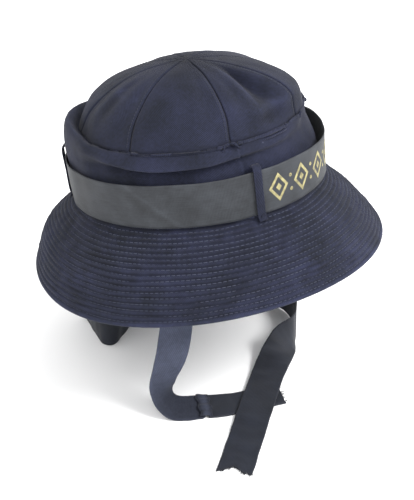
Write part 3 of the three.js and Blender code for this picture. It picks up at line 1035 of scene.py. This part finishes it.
RIGHT_RIBBON_ROUTE = [
    (-84.4, -8.5, -157.7, -0.96, -0.22, -0.12),
    (-80.5, -21, -158.5, -0.94, -0.34, -0.06),
    (-76, -33, -159.2, -0.93, -0.37, -0.02),
    (-71, -45, -159.4, -0.93, -0.37, 0),
    (-65.5, -58, -159.4, -0.93, -0.37, 0),
    (-60, -71, -159.4, -0.93, -0.37, 0),
]
LEFT_TAPE_ROUTE = [
    (75, 13, 8, -0.07, 1, 0),
    (75.4, 13.5, -10, -0.07, 1, 0),
    (82, 20, -42, -0.05, 0.96, 0.2),
    (86, 38, -80, -0.1, 0.9, 0.4),
    (85, 61, -113, -0.2, 0.7, 0.68),
    (78, 84, -135, -0.22, 0.4, 0.88),
    (67, 98, -145.5, -0.1, 0.1, 0.98),
    (57, 104.5, -147.2, 0, 0, 1),
]
LEFT_RIBBON_ROUTE = [
    (54, 105.8, -146.3, 0, 0, 1),
    (31, 97, -146.2, 0.12, 0.16, 0.98),
    (14, 88, -146.2, 0.2, 0.2, 0.96),
    (7, 78, -146.3, 0.25, 0, 0.97),
    (13, 69.5, -146.3, 0.1, -0.15, 0.98),
    (30, 65, -146.3, 0, 0, 1),
    (53, 60, -146.3, 0, 0, 1),
    (76, 44, -146.3, 0, 0, 1),
    (90, 18, -146.3, 0, 0, 1),
    (94, -12, -146.3, 0, 0, 1),
    (88, -44, -146.3, 0, 0, 1),
    (71, -70, -146.3, 0, 0, 1),
    (50, -79.5, -146.3, 0, 0, 1),
    (30, -81.5, -146.3, 0, 0, 1),
    (14, -79, -146.2, 0, 0.12, 0.98),
    (3, -72, -149, 0, 0.72, 0.66),
    (-8, -66, -154.9, -0.1, 0.95, 0.25),
    (-30, -59.5, -157.4, -0.15, 0.98, 0.03),
    (-56, -54, -157.7, -0.17, 0.98, 0),
    (-92, -47, -157.9, -0.18, 0.98, 0),
    (-116, -42.5, -159.2, -0.18, 0.98, 0),
    (-140, -38, -159.4, -0.18, 0.98, 0),
    (-165, -33.5, -159.4, -0.18, 0.98, 0),
]


def straight(side):
    """No cut: the strap runs to the end of its route."""
    return 0


def slanted_cut(side):
    """How far short of its route's end the near ribbon is cut, in mm, from one edge to the other."""
    return 1.5 + 3.5 * (side + 1) / 2 + 0.7 * wrinkle(side * 40, 0, 4, 3)


def swallow_tail(side):
    """The far ribbon's end: a ragged notch with one point longer than the other."""
    notch = 9 * max(0, 1 - abs(side - 0.12)) ** 1.2
    return 1 + notch + 2 * (side < -0.6) + 1.3 * wrinkle(side * 60, 0, 5, 7)


fray_points, fray_faces = [], []
strands = random.Random(5)
FRAY_SPREAD = 0.5


def fray(strap_point, count, longest):
    """Loose threads that stick out of a strap's cut end."""
    for number in range(count):
        s = (number + 0.5) / count
        root = strap_point(s, 1) / MM
        heading = (root - strap_point(s, 0.98) / MM).normalized()
        sideways = heading.cross(Vector((0, 0, 1)))
        way = heading + sideways * strands.uniform(-FRAY_SPREAD, FRAY_SPREAD)
        way *= strands.uniform(1, longest)
        stitch_row(lambda t: (root - heading + way * t / STITCH_FILL, Vector((0, 0, 1))), 1, 1,
                   fray_points, fray_faces)


def strap_piece(name, node, route, width, columns, material, slot, gathers=(0, 0), end_cut=straight,
                threads=0):
    """A flat strap along its route, a little cupped and wavy, with firm woven edges. gathers say how
    much the cloth is puckered at its two ends, and threads how many have frayed from its cut end."""
    length = route_length(route)
    steps = len(route) - 1
    end_share = 30 / length  # the cut end's shape is drawn out over the last 30 mm
    # on a tape, a painted highlight high up where it hangs in the light, and painted shade lower down,
    # towards its fold
    tape_painted_light = 1 if slot == "navy_tape" else 0  # a tape is palest where it hangs in the light

    def strap_point(s, t):
        side = 2 * s - 1
        near_end = smooth_step(t, 1 - end_share, 1)
        place = (t - near_end * end_cut(side) / length) * steps
        middle, across, face = strap_frame(route, place)
        gather = gathers[0] * bell(t * length, 6) + gathers[1] * bell((1 - t) * length, 6)
        wave = 0.5 * wrinkle(t * length * 0.6, side * 6, 9, 13)
        wave += gather * (0.6 * math.sin(side * 5 + 0.8) + 1 - side * side)
        edge = 0.12 * bell(abs(side) - 0.95, 0.06)
        half = width / 2 * (1 - 0.12 * gather)
        half += 0.25 * wrinkle(t * length, side * 9, 14, 4)
        return (middle + across * side * half + face * (wave + edge + TAPE_THICKNESS / 2)) * MM

    def strap_wear_and_painted_light(s, t):
        # paler along both woven edges, and on a tape its painted highlight and painted shade
        edges = 0.3 * bell(min(s, 1 - s), 0.04)
        return edges + tape_painted_light * (0.5 - 1.25 * smooth_step(t, 0.42, 0.68))

    piece = cloth_grid(name, columns, max(20, round(length * 0.9)), strap_point, (width, length),
                       wear_and_painted_light=strap_wear_and_painted_light)
    thicken(piece, TAPE_THICKNESS)
    dress(piece, material, slot, node)
    fray(strap_point, threads, 4)
    return piece, length


# The tape's twill and the silk's ribs are drawn coarser than real ones too, so that they show.
navy_twill_tape = woven_cotton("navy_cotton_tape", "#2F3340", "#414555", "#9097A8", 1.2, 0.8)
black_silk = ribbed_silk("black_ribbed_silk", "#11141C", "#1B1F2A", 1.0, 0.5, 0.05)

TIES = [
    # piece, node, route, width, material, slot, gathers, end, threads, held
    ("right_tape_cloth", "right_tie_tape", RIGHT_TAPE_ROUTE, TAPE_WIDTH, navy_twill_tape,
     "navy_tape", (0, 0.6), straight, 9, "hung"),
    ("right_ribbon_cloth", "right_tie_ribbon", RIGHT_RIBBON_ROUTE, TIE_RIBBON_WIDTH, black_silk,
     "black_ribbon", (0.6, 0), slanted_cut, 16, "laid"),
    ("left_tape_cloth", "left_tie_tape", LEFT_TAPE_ROUTE, TAPE_WIDTH, navy_twill_tape,
     "navy_tape", (0, 0.6), straight, 6, "hung"),
    ("left_ribbon_cloth", "left_tie_ribbon", LEFT_RIBBON_ROUTE, TIE_RIBBON_WIDTH, black_silk,
     "black_ribbon", (0.6, 0), swallow_tail, 34, "laid"),
]
for name, node, route, width, material, slot, gathers, end_cut, threads, held in TIES:
    tie, tie_length = strap_piece(name, node, route, width, 24, material, slot, gathers, end_cut, threads)

HEM_LENGTH = 11
HEM_RISE = 1.5


def join_hem(name, tape_route, ribbon_route, turn_up):
    """The folded and gathered hem that hides the join between a tape and its ribbon."""
    tape_end, ribbon_start = Vector(tape_route[-1][:3]), Vector(ribbon_route[0][:3])
    heading = (ribbon_start - tape_end).normalized()
    across = (Vector(tape_route[-1][3:]) + Vector(ribbon_route[0][3:])).normalized()
    face = across.cross(heading).normalized() * turn_up
    across = heading.cross(face).normalized()
    middle = (tape_end + ribbon_start) / 2

    def hem_point(s, t):
        side, along = 2 * s - 1, 2 * t - 1
        pucker = 0.55 * wrinkle(side * 90, along * 5, 5, 31) + 0.35 * math.sin(side * 11 + along)
        rise = HEM_RISE + 1.5 * (1 - along * along) ** 0.6 * (1 - 0.4 * side * side) + pucker
        reach = HEM_LENGTH / 2 * along * (1 + 0.14 * math.sin(side * 7))
        half = TAPE_WIDTH / 2 * (1 - 0.08 * (1 - along * along))
        return (middle + across * side * half + heading * reach + face * rise) * MM

    def hem_painted_light(s, t):
        # painted shade over the hem, deepest at its two folded ends, with a painted highlight along its
        # crest
        return 0.35 * bell(t - 0.5, 0.15) - 0.55 - 0.9 * bell(t - 0.9, 0.12) - 0.5 * bell(t - 0.1, 0.1)

    hem = cloth_grid(name, 26, 16, hem_point, (TAPE_WIDTH, HEM_LENGTH), wear_and_painted_light=hem_painted_light)
    thicken(hem, TAPE_THICKNESS)
    dress(hem, navy_twill_tape, "navy_tape")


join_hem("right_join_hem", RIGHT_TAPE_ROUTE, RIGHT_RIBBON_ROUTE, 1)
join_hem("left_join_hem", LEFT_TAPE_ROUTE, LEFT_RIBBON_ROUTE, 1)

loose_threads = stitch_piece("loose_threads", fray_points, fray_faces, lambda point: point * MM)
dress(loose_threads, black_silk, "black_ribbon")
